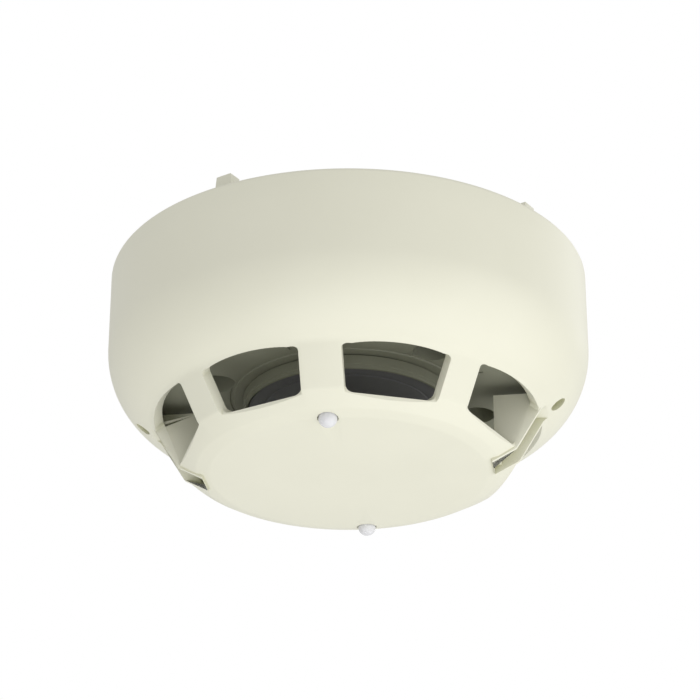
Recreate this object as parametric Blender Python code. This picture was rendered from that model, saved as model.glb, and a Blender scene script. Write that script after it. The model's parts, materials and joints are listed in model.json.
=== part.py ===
"""Ceiling heat detector: a sensing head that twists onto a low four-footed mounting base.

Units are metres and +Z is up, towards the ceiling. The origin is the centre of the ceiling plane
that the feet of the base touch. Heights inside the detector are given as depths below the rim of the
outer cover, so a depth grows downwards, away from the ceiling. Azimuths are in degrees: 0 points
along -Y, and they grow towards +X.
"""

import math

import bmesh
import bpy
from mathutils import Matrix, Vector

# ---------------------------------------------------------------- clearances and resolution
GAP = 0.0003            # clearance between two pieces that touch
OVERCUT = 0.0010        # how far a cutter runs past the face it opens
ROUND_STEPS = 64        # facets round the outer cover
INNER_STEPS = 48        # facets round the large pieces inside it
SMALL_STEPS = 16        # facets round posts, light pipes and holes
SCREW_STEPS = 12        # facets round screws, rivets and pins

# ---------------------------------------------------------------- outer cover
COVER_RADIUS = 0.0500   # outside of the skirt
COVER_DEPTH = 0.0446    # rim to the lowest point of the cap
COVER_WALL = 0.0024
SHOULDER_ARC = 0.0165   # radius of the curve from the skirt to the windows
SHOULDER_WIDTH = 0.0097  # skirt radius less the radius where the windows start
BAND_RUN = 0.0049       # radial width of the steep band that carries the windows
BAND_HEIGHT = 0.0082    # height of that band
CAP_BEVEL_RUN = 0.0042  # radial width of the sloping edge of the cap
CAP_BEVEL_HEIGHT = 0.0024
CAP_ROUND_RUN = 0.0027  # radial width of the last rounding before the flat of the cap
CAP_ROUND_HEIGHT = 0.0007
CAP_DOME = 0.0009       # rise of the flat of the cap at its centre
SNAP_BEAD = 0.0007      # height of the bead that holds the chassis flange
SNAP_LEDGE = 0.0012     # width of the ledge that the chassis flange rests on

# ---------------------------------------------------------------- windows, ribs and tool channels
WINDOW_COUNT = 8
FIRST_WINDOW = 14.4     # azimuth of the middle of a window
WINDOW_SILL_TILT = 1.0  # fall of the sill for each unit outwards
WINDOW_SILL_INSET = 0.0015  # sill inwards of the foot of the band
WINDOW_REACH = 0.0045   # how far a window's cut runs inwards of its sill
RIB_WIDTH = 0.0070
LAMP_RIB_WIDTH = 0.0084  # the two ribs above the light pipes
RIB_SHIFT = 1.4         # plain ribs stand this much nearer, in degrees, to the rib of a light pipe
CHANNEL_AZIMUTH = 81.9
CHANNEL_WIDTH = 0.0060
VANE_THICKNESS = 0.0010
VANE_PROUD = 0.0006     # how far a vane stands out of the cap at its end
VANE_RISE = 0.0030      # top of a vane above the top of the windows
VANE_START = 0.0008     # where a vane leaves the shoulder, outwards of the windows' top
VANE_ROOT_SINK = 0.0010  # root of a vane below the surface of the shoulder
VANE_BEND_INSET = 0.0006  # bend of a vane, inwards of the foot of the band
VANE_BEND_PROUD = 0.0008  # how far a vane stands out at its bend
CHANNEL_ROOT = 0.0036   # reach of a channel's block into the wall of the shoulder
CHANNEL_END_INSET = 0.0056  # end of the channel, inwards of the foot of the band
CHANNEL_RISE = 0.0004   # roof of the channel above the top of the windows
CHANNEL_BACK = 0.0024   # end of the channel to its back wall, deeper in
RECESS_RADIUS = 0.0018  # small blind hole beside each channel
RECESS_DEPTH = 0.0014
RECESS_INSET = 0.0066   # inwards of the skirt

# ---------------------------------------------------------------- light pipes and lamps
LAMP_AZIMUTH = -8.1
LAMP_INSET = 0.0072     # lamp circle, inwards of the foot of the band
PIPE_RADIUS = 0.0019
PIPE_PROUD = 0.0018     # dome of the pipe beyond the cap
PIPE_COLLAR = 0.0010    # collar wider than the pipe
LED_HEIGHT = 0.0030

# ---------------------------------------------------------------- mounting base
BASE_SIDE_CLEARANCE = 0.0026  # base to the inside of the skirt
BASE_PLATE = 0.0025
BASE_RING_WALL = 0.0020
BASE_RING_HEIGHT = 0.0061
CABLE_HOLE_RADIUS = 0.0110
FOOT_AZIMUTH = 56.0
FOOT_COUNT = 4
FOOT_HEIGHT = 0.0062    # ceiling to the plate
FOOT_THICKNESS = 0.0030
FOOT_INSET = 0.0004     # foot inwards of the edge of the plate
FOOT_WIDTH = 0.0050
FOOT_TIP_WIDTH = 0.0034
LEDGE_THICKNESS = 0.0018
LEDGE_ANGLE = 16.0
FIXING_SLOT_AZIMUTH = 90.0
FIXING_SLOT_WIDTH = 0.0048
FIXING_SLOT_LENGTH = 0.0100
FIXING_SLOT_CIRCLE = 0.0300

# ---------------------------------------------------------------- bayonet on the chassis
TAB_THICKNESS = 0.0019
TAB_ANGLE = 14.0
TAB_REACH = 0.0042      # collar to the tip of a tab
TAB_TIP_CLEARANCE = 0.0006
COLLAR_WALL = 0.0022
COLLAR_CLEARANCE = 0.0012   # ledge tip to collar

# ---------------------------------------------------------------- terminals
TERMINAL_COUNT = 4
TERMINAL_AZIMUTH = 45.0
TERMINAL_INSET = 0.0070     # middle of a terminal, inwards of the collar on the chassis
CLIP_WIDTH = 0.0070
CLIP_STRIP = 0.0005
CLIP_JAW_LENGTH = 0.0094
CLIP_PAD_LENGTH = 0.0106
CLIP_MOUTH = 0.0030
WIRE_PLATE = 0.0008
WIRE_PLATE_SIDE = 0.0060
TERMINAL_SCREW_RADIUS = 0.0014
TERMINAL_HEAD_RADIUS = 0.0028
TERMINAL_HEAD_HEIGHT = 0.0018
TERMINAL_BOSS_WALL = 0.0013
TERMINAL_BOSS_HEIGHT = 0.0040
TERMINAL_BOSS_ROOF = 0.0005  # material left above the screw hole
BLADE_THICKNESS = 0.0006
BLADE_WIDTH = 0.0060
BLADE_FOOT_LENGTH = 0.0085
BLADE_LEG_CLEARANCE = 0.0009  # leg of the blade to the edge of the clip
RIVET_RADIUS = 0.0009
RIVET_HEAD_RADIUS = 0.0020
RIVET_HEAD_HEIGHT = 0.0005
PIN_RADIUS = 0.0008

# ---------------------------------------------------------------- chassis, board and sensing cavity
CONNECTION_BAY = 0.0079     # base plate to the back of the chassis
CHASSIS_WALL = 0.0020
CHASSIS_SKIRT_WALL = 0.0016
CHASSIS_SKIRT_INSET = 0.0063  # chassis skirt, inwards of its flange
BOARD_BAY = 0.0040          # chassis wall to the circuit board
BOARD_THICKNESS = 0.0016
BOARD_EDGE_CLEARANCE = 0.0008
TALL_PART_CLEARANCE = 0.0007  # capacitor to the cavity plate
CAVITY_HEADROOM = 0.0058    # cavity plate above the top of the windows
CAVITY_PLATE = 0.0018
CAVITY_EDGE_CLEARANCE = 0.0006
CARRIER_INSET = 0.0136      # sensor carrier, inwards of the foot of the band
CARRIER_HEIGHT = 0.0028
CARRIER_RIM = 0.0006
CARRIER_FACE = 0.0009
SCREW_CIRCLE_INSET = 0.0074  # board screws, inwards of the foot of the band
SCREW_AZIMUTHS = (36.5, 106.0, 216.5, 286.0)
BOARD_SCREW_RADIUS = 0.0012
BOARD_HEAD_RADIUS = 0.0026
BOARD_HEAD_HEIGHT = 0.0018
BOSS_WALL = 0.0017
WELL_RADIUS = 0.0038
WELL_WALL = 0.0008
WELL_FLOOR = 0.0013

# ---------------------------------------------------------------- thermistor
SLEEVE_RADIUS = 0.0023
SLEEVE_WALL = 0.0008
SLEEVE_DROP = 0.0069        # sleeve below the cavity plate
SLEEVE_COLLAR = 0.0013
LEAD_RADIUS = 0.00025
LEAD_OFFSET = 0.0010
LEAD_SHOW = 0.0012          # bare lead between the sleeve and the bead
BEAD_RADIUS = 0.0014
BEAD_LENGTH = 0.0040

# ---------------------------------------------------------------- parts on the board
CHIP_EDGE = 0.0001
PROCESSOR_PLACE = (0.0, 0.014)
PROCESSOR_SIDE = 0.0070
PROCESSOR_HEIGHT = 0.0010
REGULATOR_PLACE = (0.002, -0.020)
REGULATOR_SIZE = (0.0065, 0.0035, 0.0016)
CAPACITOR_PLACE = (-0.012, 0.012)
CAPACITOR_RADIUS = 0.0025
CAPACITOR_HEIGHT = 0.0052
REED_PLACE = (0.016, 0.006)
REED_RADIUS = 0.0011
REED_LENGTH = 0.0110
AIR_SENSOR_PLACE = (-0.014, -0.016)
AIR_SENSOR_RADIUS = 0.0009

# ---------------------------------------------------------------- values worked out from those above
COVER_INSIDE = COVER_RADIUS - COVER_WALL
WINDOW_TOP_RADIUS = COVER_RADIUS - SHOULDER_WIDTH
BAND_FOOT_RADIUS = WINDOW_TOP_RADIUS - BAND_RUN
CAP_HEIGHT = BAND_HEIGHT + CAP_BEVEL_HEIGHT + CAP_ROUND_HEIGHT + CAP_DOME
WINDOW_TOP_DEPTH = COVER_DEPTH - CAP_HEIGHT
ARC_CENTRE_RADIUS = COVER_RADIUS - SHOULDER_ARC
ARC_END_ANGLE = math.acos((WINDOW_TOP_RADIUS - ARC_CENTRE_RADIUS) / SHOULDER_ARC)
SKIRT_DEPTH = WINDOW_TOP_DEPTH - SHOULDER_ARC * math.sin(ARC_END_ANGLE)
LAMP_CIRCLE = BAND_FOOT_RADIUS - LAMP_INSET
SCREW_CIRCLE = BAND_FOOT_RADIUS - SCREW_CIRCLE_INSET
CARRIER_RADIUS = BAND_FOOT_RADIUS - CARRIER_INSET

# depths, stacked from the windows back up to the ceiling
CAVITY_FACE = WINDOW_TOP_DEPTH - CAVITY_HEADROOM
CAVITY_BACK = CAVITY_FACE - CAVITY_PLATE
BOARD_UNDERSIDE = CAVITY_BACK - TALL_PART_CLEARANCE - CAPACITOR_HEIGHT - GAP
BOARD_DEPTH = BOARD_UNDERSIDE - BOARD_THICKNESS
CHASSIS_FACE = BOARD_DEPTH - BOARD_BAY
CHASSIS_DEPTH = CHASSIS_FACE - CHASSIS_WALL
BASE_UNDERSIDE = CHASSIS_DEPTH - CONNECTION_BAY
BASE_TOP_DEPTH = BASE_UNDERSIDE - BASE_PLATE
RIM_Z = BASE_TOP_DEPTH - FOOT_HEIGHT

BASE_RADIUS = COVER_INSIDE - BASE_SIDE_CLEARANCE
BASE_RING_INSIDE = BASE_RADIUS - BASE_RING_WALL
BASE_RING_END = BASE_UNDERSIDE + BASE_RING_HEIGHT
LEDGE_DEPTH = BASE_RING_END - LEDGE_THICKNESS
TAB_DEPTH = LEDGE_DEPTH - GAP - TAB_THICKNESS
TAB_RADIUS = BASE_RING_INSIDE - TAB_TIP_CLEARANCE
COLLAR_RADIUS = TAB_RADIUS - TAB_REACH
LEDGE_RADIUS = COLLAR_RADIUS + COLLAR_CLEARANCE
TERMINAL_CIRCLE = COLLAR_RADIUS - COLLAR_WALL - TERMINAL_INSET

CHASSIS_FLANGE_RADIUS = COVER_INSIDE - GAP
CHASSIS_SKIRT_RADIUS = CHASSIS_FLANGE_RADIUS - CHASSIS_SKIRT_INSET
BOARD_RADIUS = CHASSIS_SKIRT_RADIUS - CHASSIS_SKIRT_WALL - BOARD_EDGE_CLEARANCE
WELL_TOP = BOARD_UNDERSIDE + GAP
CARRIER_TOP = CAVITY_FACE + GAP
CARRIER_END = CARRIER_TOP + CARRIER_HEIGHT
SLEEVE_END = CAVITY_FACE + SLEEVE_DROP
SLEEVE_HOLE = SLEEVE_RADIUS + GAP

CLIP_TOP = BASE_UNDERSIDE + GAP
CLIP_JAW_TOP = CLIP_TOP + CLIP_STRIP + CLIP_MOUTH
BLADE_DEPTH = CLIP_JAW_TOP - GAP - BLADE_THICKNESS
BLADE_FOOT_DEPTH = CHASSIS_DEPTH - GAP - BLADE_THICKNESS
BLADE_LEG_RADIUS = TERMINAL_CIRCLE - CLIP_WIDTH / 2 - BLADE_LEG_CLEARANCE
RIVET_CIRCLE = BLADE_LEG_RADIUS - BLADE_FOOT_LENGTH / 2 - BLADE_THICKNESS
RIVET_END = CHASSIS_FACE + GAP + RIVET_HEAD_HEIGHT


# ---------------------------------------------------------------- general helpers
def direction(azimuth):
    """Unit vector that points outwards at an azimuth."""
    angle = math.radians(azimuth)
    return Vector((math.sin(angle), -math.cos(angle), 0.0))


def tangent(azimuth):
    """Unit vector along the rim at an azimuth, towards growing azimuths."""
    angle = math.radians(azimuth)
    return Vector((math.cos(angle), math.sin(angle), 0.0))


def place(azimuth, radius, depth, along=0.0):
    """Point at a depth below the rim, a radius out and a distance along the rim."""
    point = direction(azimuth) * radius + tangent(azimuth) * along
    point.z = RIM_Z - depth
    return point


def material(name, colour, roughness, metallic=0.0, alpha=1.0):
    """Principled material with the finish of one kind of piece."""
    made = bpy.data.materials.new(name)
    made.use_nodes = True
    shader = made.node_tree.nodes["Principled BSDF"]
    shader.inputs["Base Color"].default_value = (*colour, 1.0)
    shader.inputs["Roughness"].default_value = roughness
    shader.inputs["Metallic"].default_value = metallic
    shader.inputs["Alpha"].default_value = alpha
    return made


def add_piece(name, bm, finish, parent):
    """Turn a bmesh into a named object under a parent, with smooth round faces."""
    bmesh.ops.remove_doubles(bm, verts=bm.verts, dist=1e-7)
    bmesh.ops.recalc_face_normals(bm, faces=bm.faces)
    mesh = bpy.data.meshes.new(name)
    bm.to_mesh(mesh)
    bm.free()
    mesh.shade_smooth()
    mesh.set_sharp_from_angle(angle=math.radians(35))
    piece = bpy.data.objects.new(name, mesh)
    bpy.context.scene.collection.objects.link(piece)
    piece.data.materials.append(finish)
    piece.parent = parent
    return piece


def add_cutter(name, bm, parent):
    """Guide solid for a Boolean, which is not a piece of the detector."""
    cutter = add_piece(name, bm, CUTTER_FINISH, parent)
    cutter.hide_render = True
    cutter.display_type = "WIRE"
    return cutter


def combine(piece, other, operation):
    """Join, cut or intersect a piece with a guide solid."""
    modifier = piece.modifiers.new(f"{operation.lower()}_{other.name}", "BOOLEAN")
    modifier.operation = operation
    modifier.solver = "EXACT"
    modifier.object = other


def turn(bm, profile, steps, centre=(0.0, 0.0)):
    """Spin a profile of (radius, depth) points round a vertical axis through a plan point."""
    x, y = centre
    verts = [bm.verts.new((x + radius, y, RIM_Z - depth)) for radius, depth in profile]
    edges = [bm.edges.new(pair) for pair in zip(verts[:-1], verts[1:])]
    on_axis = profile[0][0] < 1e-9 and profile[-1][0] < 1e-9
    if not on_axis:
        edges.append(bm.edges.new((verts[-1], verts[0])))
    bmesh.ops.spin(
        bm,
        geom=verts + edges,
        cent=(x, y, 0.0),
        axis=(0.0, 0.0, 1.0),
        angle=math.tau,
        steps=steps,
        use_merge=True,
    )
    bmesh.ops.remove_doubles(bm, verts=bm.verts, dist=1e-7)


def turned(profile, steps, centre=(0.0, 0.0)):
    """Closed solid of revolution."""
    bm = bmesh.new()
    turn(bm, profile, steps, centre)
    return bm


def rod(bm, centre, radius, top, bottom, steps=SMALL_STEPS):
    """Plain upright cylinder between two depths."""
    length = bottom - top
    middle = Vector((centre[0], centre[1], RIM_Z - (top + bottom) / 2))
    bmesh.ops.create_cone(
        bm,
        cap_ends=True,
        segments=steps,
        radius1=radius,
        radius2=radius,
        depth=length,
        matrix=Matrix.Translation(middle),
    )


def prism(bm, outline, push):
    """Closed solid from an outline of points, pushed along a vector."""
    verts = [bm.verts.new(point) for point in outline]
    face = bm.faces.new(verts)
    result = bmesh.ops.extrude_face_region(bm, geom=[face])
    moved = [item for item in result["geom"] if isinstance(item, bmesh.types.BMVert)]
    bmesh.ops.translate(bm, verts=moved, vec=push)


def radial_prism(bm, azimuth, outline, width, along=0.0):
    """Solid whose (radius, depth) outline is swept along the rim, centred on the azimuth."""
    points = [place(azimuth, radius, depth, along - width / 2) for radius, depth in outline]
    prism(bm, points, tangent(azimuth) * width)


def sector(bm, azimuth, angle, inner, outer, top, bottom, steps=4):
    """Slice of a flat ring, centred on an azimuth."""
    turns = [azimuth + angle * (index / steps - 0.5) for index in range(steps + 1)]
    outline = [place(turn_at, outer, bottom) for turn_at in turns]
    outline += [place(turn_at, inner, bottom) for turn_at in reversed(turns)]
    prism(bm, outline, Vector((0.0, 0.0, bottom - top)))


def arc(centre_radius, centre_depth, radius, start, end, steps):
    """Points of a profile arc; an angle of 0 points outwards and a quarter turn points down."""
    points = []
    for index in range(steps + 1):
        angle = start + (end - start) * index / steps
        points.append((centre_radius + radius * math.cos(angle), centre_depth + radius * math.sin(angle)))
    return points


def inset(profile, distance):
    """Profile that runs inside another one at a wall's distance, with mitred corners."""
    normals = []
    for (r0, d0), (r1, d1) in zip(profile[:-1], profile[1:]):
        length = math.hypot(r1 - r0, d1 - d0)
        normals.append(((d0 - d1) / length, (r1 - r0) / length))
    moved = []
    for index, (radius, depth) in enumerate(profile):
        before = normals[max(index - 1, 0)]
        after = normals[min(index, len(normals) - 1)]
        lean = 1 + before[0] * after[0] + before[1] * after[1]
        shift_r = (before[0] + after[0]) / lean
        shift_d = (before[1] + after[1]) / lean
        moved.append((radius + shift_r * distance, depth + shift_d * distance))
    return moved


def empty(name, parent=None):
    """Empty on the detector's axis that carries the pieces of one body."""
    holder = bpy.data.objects.new(name, None)
    bpy.context.scene.collection.objects.link(holder)
    holder.parent = parent
    return holder


# ---------------------------------------------------------------- mounting base
def base_plate(parent):
    """Dished plate with four feet, four bayonet ledges, terminal bosses and fixing slots."""
    profile = [
        (CABLE_HOLE_RADIUS, BASE_TOP_DEPTH),
        (BASE_RADIUS, BASE_TOP_DEPTH),
        (BASE_RADIUS, BASE_RING_END),
        (BASE_RING_INSIDE, BASE_RING_END),
        (BASE_RING_INSIDE, BASE_UNDERSIDE),
        (CABLE_HOLE_RADIUS, BASE_UNDERSIDE),
    ]
    plate = add_piece("base_plate", turned(profile, INNER_STEPS), IVORY, parent)

    added = bmesh.new()
    for index in range(FOOT_COUNT):
        azimuth = FOOT_AZIMUTH + index * 360 / FOOT_COUNT
        foot(added, azimuth)
        sector(added, azimuth, LEDGE_ANGLE, LEDGE_RADIUS, BASE_RING_INSIDE + GAP, LEDGE_DEPTH,
               BASE_RING_END - GAP / 2)
    for index in range(TERMINAL_COUNT):
        centre = terminal_screw_point(index)
        rod(added, centre, TERMINAL_SCREW_RADIUS + GAP + TERMINAL_BOSS_WALL,
            BASE_TOP_DEPTH - TERMINAL_BOSS_HEIGHT, BASE_UNDERSIDE - GAP)
    combine(plate, add_cutter("base_additions", added, parent), "UNION")

    removed = bmesh.new()
    for index in range(TERMINAL_COUNT):
        centre = terminal_screw_point(index)
        rod(removed, centre, TERMINAL_SCREW_RADIUS + GAP,
            BASE_TOP_DEPTH - TERMINAL_BOSS_HEIGHT + TERMINAL_BOSS_ROOF, BASE_UNDERSIDE + OVERCUT)
    for azimuth in (FIXING_SLOT_AZIMUTH, FIXING_SLOT_AZIMUTH + 180):
        fixing_slot(removed, azimuth)
    combine(plate, add_cutter("base_holes", removed, parent), "DIFFERENCE")


def foot(bm, azimuth):
    """Tapered stand-off foot that reaches from the base plate to the ceiling."""
    outer = BASE_RADIUS - FOOT_INSET
    inner = outer - FOOT_THICKNESS
    top = BASE_TOP_DEPTH - FOOT_HEIGHT
    bottom = BASE_TOP_DEPTH + BASE_PLATE / 2
    outline = [
        place(azimuth, outer, bottom, -FOOT_WIDTH / 2),
        place(azimuth, outer, bottom, FOOT_WIDTH / 2),
        place(azimuth, outer, top, FOOT_TIP_WIDTH / 2),
        place(azimuth, outer, top, -FOOT_TIP_WIDTH / 2),
    ]
    prism(bm, outline, direction(azimuth) * (inner - outer))


def fixing_slot(bm, azimuth):
    """Round-ended slot through the plate for one ceiling screw."""
    half = FIXING_SLOT_WIDTH / 2
    reach = FIXING_SLOT_LENGTH / 2 - half
    top = BASE_TOP_DEPTH - OVERCUT
    bottom = BASE_UNDERSIDE + OVERCUT
    outline = []
    for end, start_angle in ((1, -90), (-1, 90)):
        for step in range(7):
            angle = math.radians(start_angle + step * 30)
            radius = FIXING_SLOT_CIRCLE + end * reach + half * math.cos(angle)
            outline.append(place(azimuth, radius, bottom, half * math.sin(angle)))
    prism(bm, outline, Vector((0.0, 0.0, bottom - top)))


def terminal_azimuth(index):
    """Azimuth of one terminal of the four."""
    return TERMINAL_AZIMUTH + index * 360 / TERMINAL_COUNT


def terminal_screw_along():
    """Distance from the middle of a clip's jaws to its screw."""
    return CLIP_JAW_LENGTH / 2 + CLIP_PAD_LENGTH / 2 + CLIP_STRIP


def terminal_screw_point(index):
    """Plan point of one terminal screw."""
    point = place(terminal_azimuth(index), TERMINAL_CIRCLE, 0.0, terminal_screw_along())
    return (point.x, point.y)


def terminal_clip(index, parent):
    """Folded spring strip: a screw pad, and two jaws that the head's blade slides between."""
    half_jaw = CLIP_JAW_LENGTH / 2
    pad_end = half_jaw + CLIP_STRIP + CLIP_PAD_LENGTH
    strip_end = CLIP_TOP + CLIP_STRIP
    jaw_end = CLIP_JAW_TOP + CLIP_STRIP
    outline = [
        (-half_jaw, CLIP_TOP),
        (pad_end, CLIP_TOP),
        (pad_end, strip_end),
        (half_jaw + CLIP_STRIP, strip_end),
        (half_jaw + CLIP_STRIP, jaw_end),
        (-half_jaw, jaw_end),
        (-half_jaw, CLIP_JAW_TOP),
        (half_jaw, CLIP_JAW_TOP),
        (half_jaw, strip_end),
        (-half_jaw, strip_end),
    ]
    azimuth = terminal_azimuth(index)
    bm = bmesh.new()
    points = [place(azimuth, TERMINAL_CIRCLE - CLIP_WIDTH / 2, depth, along) for along, depth in outline]
    prism(bm, points, direction(azimuth) * CLIP_WIDTH)
    clip = add_piece(f"terminal_clip_{index + 1}", bm, BRASS, parent)
    hole = bmesh.new()
    rod(hole, terminal_screw_point(index), TERMINAL_SCREW_RADIUS + GAP, CLIP_TOP - OVERCUT, strip_end + OVERCUT,
        SCREW_STEPS)
    combine(clip, add_cutter(f"clip_hole_{index + 1}", hole, parent), "DIFFERENCE")


def wire_plate(index, parent):
    """Square plate that the terminal screw presses on the wire."""
    top = CLIP_TOP + CLIP_STRIP + GAP
    side = WIRE_PLATE_SIDE / 2
    along = terminal_screw_along()
    azimuth = terminal_azimuth(index)
    corners = [(-side, -side), (side, -side), (side, side), (-side, side)]
    bm = bmesh.new()
    points = [place(azimuth, TERMINAL_CIRCLE + out, top + WIRE_PLATE, along + move) for out, move in corners]
    prism(bm, points, Vector((0.0, 0.0, WIRE_PLATE)))
    plate = add_piece(f"wire_plate_{index + 1}", bm, STEEL, parent)
    hole = bmesh.new()
    rod(hole, terminal_screw_point(index), TERMINAL_SCREW_RADIUS + GAP, top - OVERCUT, top + WIRE_PLATE + OVERCUT,
        SCREW_STEPS)
    combine(plate, add_cutter(f"wire_hole_{index + 1}", hole, parent), "DIFFERENCE")


def screw(name, centre, seat, head_radius, head_height, shank_radius, shank_end, parent):
    """Pan-head screw that is driven from below; its seat is the depth under the head."""
    head_end = seat + head_height
    profile = [
        (0.0, shank_end),
        (shank_radius * 0.6, shank_end),
        (shank_radius, shank_end + shank_radius * 0.6),
        (shank_radius, seat),
        (head_radius, seat),
        (head_radius, seat + head_height * 0.55),
        (head_radius * 0.7, head_end),
        (0.0, head_end),
    ]
    piece = add_piece(name, turned(profile, SCREW_STEPS, centre), STEEL, parent)
    slot_width = head_radius * 0.3
    slot = bmesh.new()
    middle = Vector((centre[0], centre[1], RIM_Z - head_end))
    size = Matrix.Diagonal((head_radius * 3, slot_width, head_height * 0.8, 1.0))
    bmesh.ops.create_cube(slot, size=1.0, matrix=Matrix.Translation(middle) @ size)
    combine(piece, add_cutter(f"{name}_slot", slot, parent), "DIFFERENCE")


def terminal_screws(parent):
    """The four wire-clamping screws."""
    shank_end = BASE_TOP_DEPTH - TERMINAL_BOSS_HEIGHT + TERMINAL_BOSS_ROOF + 2 * GAP
    for index in range(TERMINAL_COUNT):
        seat = CLIP_TOP + CLIP_STRIP + GAP + WIRE_PLATE + GAP
        screw(f"terminal_screw_{index + 1}", terminal_screw_point(index), seat, TERMINAL_HEAD_RADIUS,
              TERMINAL_HEAD_HEIGHT, TERMINAL_SCREW_RADIUS, shank_end, parent)


# ---------------------------------------------------------------- outer cover
def cover_profile():
    """Outside of the cover, from the rim down to the centre of the cap."""
    foot_depth = WINDOW_TOP_DEPTH + BAND_HEIGHT
    bevel_radius = BAND_FOOT_RADIUS - CAP_BEVEL_RUN
    bevel_depth = foot_depth + CAP_BEVEL_HEIGHT
    round_radius = bevel_radius - CAP_ROUND_RUN
    round_depth = bevel_depth + CAP_ROUND_HEIGHT
    points = [(COVER_RADIUS, 0.0)]
    points += arc(ARC_CENTRE_RADIUS, SKIRT_DEPTH, SHOULDER_ARC, 0.0, ARC_END_ANGLE, 7)
    points.append((BAND_FOOT_RADIUS, foot_depth))
    points.append((bevel_radius, bevel_depth))
    points.append((round_radius, round_depth))
    points.append((round_radius * 0.55, round_depth + CAP_DOME * 0.7))
    points.append((0.0, COVER_DEPTH))
    return points


def cover_inside():
    """Inside of the cover, from the rim down, with the bead and the ledge that hold the chassis."""
    points = inset(cover_profile(), COVER_WALL)
    radius = COVER_INSIDE
    bead_end = CHASSIS_DEPTH - GAP
    ledge = CHASSIS_FACE + GAP
    fixings = [
        (radius, 0.0),
        (radius, bead_end - 2 * SNAP_BEAD),
        (radius - SNAP_BEAD, bead_end - SNAP_BEAD),
        (radius - SNAP_BEAD, bead_end - SNAP_BEAD / 3),
        (radius, bead_end),
        (radius, ledge),
        (radius - SNAP_LEDGE, ledge),
        (radius - SNAP_LEDGE, ledge + SNAP_LEDGE / 2),
        (radius, ledge + SNAP_LEDGE * 1.5),
    ]
    inner = points[1:-1]
    return fixings + inner + [(0.0, COVER_DEPTH - COVER_WALL)]


def shoulder_depth(radius):
    """Depth of the outside of the shoulder at a radius."""
    return SKIRT_DEPTH + math.sqrt(SHOULDER_ARC ** 2 - (radius - ARC_CENTRE_RADIUS) ** 2)


def cap_depth(radius):
    """Depth of the outside of the cap at a radius."""
    profile = cover_profile()
    for (r0, d0), (r1, d1) in zip(profile[:-1], profile[1:]):
        if r1 <= radius <= r0:
            return d0 + (d1 - d0) * (r0 - radius) / (r0 - r1)
    return COVER_DEPTH


def rib_azimuth(index):
    """Azimuth of the rib after a window; the two tool channels stand in for a rib each."""
    if index % 4 == 1:
        return CHANNEL_AZIMUTH + (index // 4) * 180
    shift = {0: -RIB_SHIFT, 2: RIB_SHIFT}.get(index % 4, 0.0)
    return FIRST_WINDOW + (index + 0.5) * 360 / WINDOW_COUNT + shift


def rib_half_width(index):
    """Half the width that the windows leave for a rib."""
    if index % 4 == 1:
        return CHANNEL_WIDTH / 2 + VANE_THICKNESS - GAP
    if index % 4 == 3:
        return LAMP_RIB_WIDTH / 2
    return RIB_WIDTH / 2


def window_cutter(bm, index):
    """Wedge that opens one window between two ribs, with a sloping sill."""
    azimuth = FIRST_WINDOW + index * 360 / WINDOW_COUNT
    before = index - 1
    sill_radius = BAND_FOOT_RADIUS - WINDOW_SILL_INSET
    sill_depth = cap_depth(sill_radius)
    inner = sill_radius - WINDOW_REACH
    outer = COVER_RADIUS + OVERCUT
    corners = []
    for reach in (inner, outer):
        row = []
        for neighbour, side in ((before, 1), (index, -1)):
            rib = rib_azimuth(neighbour)
            turn_by = math.radians(rib - azimuth)
            half = rib_half_width(neighbour) * side
            # the side of the wedge runs parallel to the rib, at half the rib's width
            along = (reach * math.sin(turn_by) + half) / math.cos(turn_by)
            row.append(along)
        corners.append((reach, row))
    verts = []
    for reach, row in corners:
        bottom = sill_depth + (reach - sill_radius) * WINDOW_SILL_TILT
        for along in row:
            verts.append(bm.verts.new(place(azimuth, reach, WINDOW_TOP_DEPTH, along)))
            verts.append(bm.verts.new(place(azimuth, reach, bottom, along)))
    top_a, bottom_a, top_b, bottom_b, top_c, bottom_c, top_d, bottom_d = verts
    bm.faces.new((top_a, top_b, bottom_b, bottom_a))
    bm.faces.new((top_c, bottom_c, bottom_d, top_d))
    bm.faces.new((top_a, bottom_a, bottom_c, top_c))
    bm.faces.new((top_b, top_d, bottom_d, bottom_b))
    bm.faces.new((top_a, top_c, top_d, top_b))
    bm.faces.new((bottom_a, bottom_b, bottom_d, bottom_c))


def channel_body(bm, azimuth):
    """Block of one tool channel before it is hollowed: both vanes and what lies between them."""
    foot_depth = WINDOW_TOP_DEPTH + BAND_HEIGHT
    end_radius = BAND_FOOT_RADIUS - CHANNEL_END_INSET
    back_radius = end_radius + CHANNEL_BACK - VANE_THICKNESS
    top_depth = WINDOW_TOP_DEPTH - VANE_RISE
    shoulder_radius = WINDOW_TOP_RADIUS + VANE_START
    outline = [
        (back_radius, top_depth),
        (WINDOW_TOP_RADIUS + CHANNEL_ROOT, top_depth),
        (shoulder_radius, shoulder_depth(shoulder_radius) - VANE_ROOT_SINK),
        (WINDOW_TOP_RADIUS, WINDOW_TOP_DEPTH + VANE_ROOT_SINK / 5),
        (BAND_FOOT_RADIUS - VANE_BEND_INSET, foot_depth + VANE_BEND_PROUD),
        (end_radius, cap_depth(end_radius) + VANE_PROUD),
        (end_radius - GAP, cap_depth(end_radius) - COVER_WALL / 2),
        (back_radius, cap_depth(end_radius) - COVER_WALL / 2),
    ]
    radial_prism(bm, azimuth, outline, CHANNEL_WIDTH + 2 * VANE_THICKNESS)


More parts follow.
